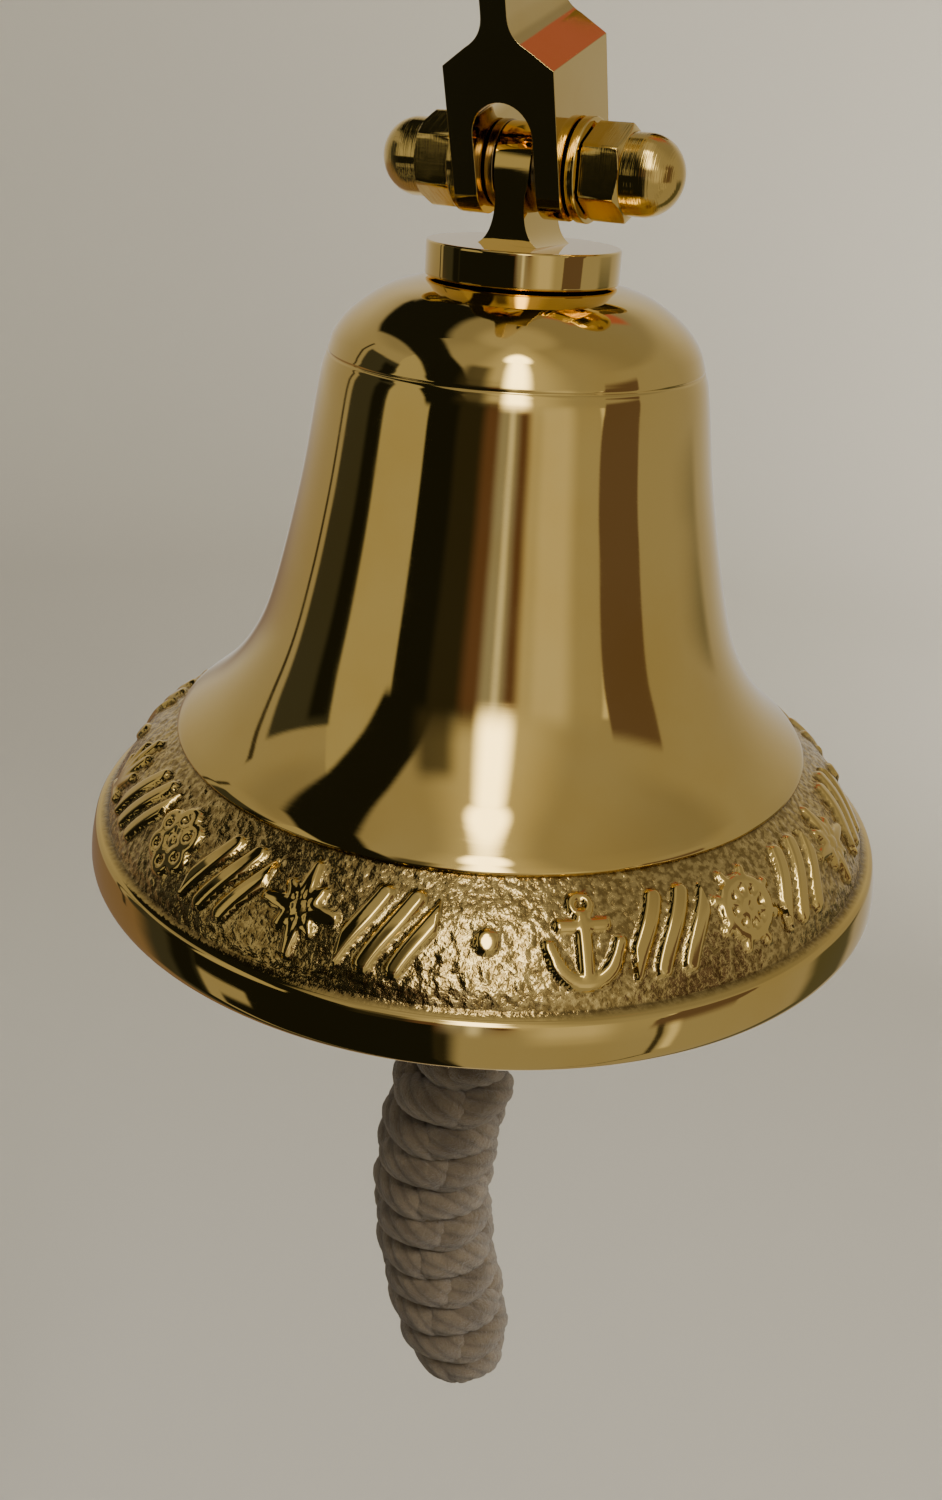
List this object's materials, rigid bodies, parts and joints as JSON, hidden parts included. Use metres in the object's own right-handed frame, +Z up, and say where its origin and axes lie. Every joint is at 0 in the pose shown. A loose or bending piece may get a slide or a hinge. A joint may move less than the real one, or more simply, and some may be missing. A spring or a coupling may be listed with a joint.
{
  "type": "ship bell",
  "caption": "Polished brass ship bell with a cast relief band, hung by a cross bolt in the fork of a swan-neck wall bracket, with a ring-hung clapper and a braided cotton pull.",
  "frame": {"origin": "centre of the wall plate's back face, on the wall", "axes": "+Z up, +Y out of the plate's back into the wall, +X along the cross bolt to the right of someone who faces the bell"},
  "size_m": [0.152, 0.205, 0.402],
  "materials": {
    "polished_brass": "mirror polished",
    "bracket_brass": "polished casting",
    "bolt_brass": "turned and polished",
    "screw_brass": "bright",
    "clapper_brass": "satin",
    "cotton_rope": "worn cotton cord",
    "cotton_twine": "waxed twine"
  },
  "bodies": {
    "bracket": {"wall_bracket": "bracket_brass", "wall_screw_upper_left": "screw_brass", "wall_screw_upper_right": "screw_brass", "wall_screw_lower_left": "screw_brass", "wall_screw_lower_right": "screw_brass", "pivot_bolt": "bolt_brass", "outer_washer_left": "bolt_brass", "outer_washer_right": "bolt_brass", "spacer_washer_left": "bolt_brass", "spacer_washer_right": "bolt_brass", "cap_nut_left": "bolt_brass", "cap_nut_right": "bolt_brass"},
    "bell": {"crown_hanger": "polished_brass", "bell_shell": "polished_brass", "crown_washer": "clapper_brass", "crown_nut": "clapper_brass", "clapper_eye": "clapper_brass"},
    "link": {"clapper_link": "clapper_brass"},
    "clapper": {"clapper_rod": "clapper_brass", "clapper_ball": "clapper_brass"},
    "lanyard": {"lanyard_eye": "cotton_rope", "lanyard_seizing": "cotton_twine", "lanyard_sennit": "cotton_rope"}
  },
  "joints": [
    {"name": "bell_swing", "type": "hinge", "parent": "bracket", "child": "bell", "pos_m": [0, -0.105, -0.086], "axis": [1, 0, 0], "range_deg": [-45, 14]},
    {"name": "link_swing", "type": "hinge", "parent": "bell", "child": "link", "pos_m": [0, -0.105, -0.137], "axis": [1, 0, 0], "range_deg": [-39, 39]},
    {"name": "clapper_sway", "type": "hinge", "parent": "link", "child": "clapper", "pos_m": [0, -0.105, -0.1476], "axis": [0, 1, 0], "range_deg": [-8, 8]},
    {"name": "lanyard_swing", "type": "hinge", "parent": "clapper", "child": "lanyard", "pos_m": [0, -0.105, -0.247], "axis": [1, 0, 0], "range_deg": [-35, 35]}
  ]
}
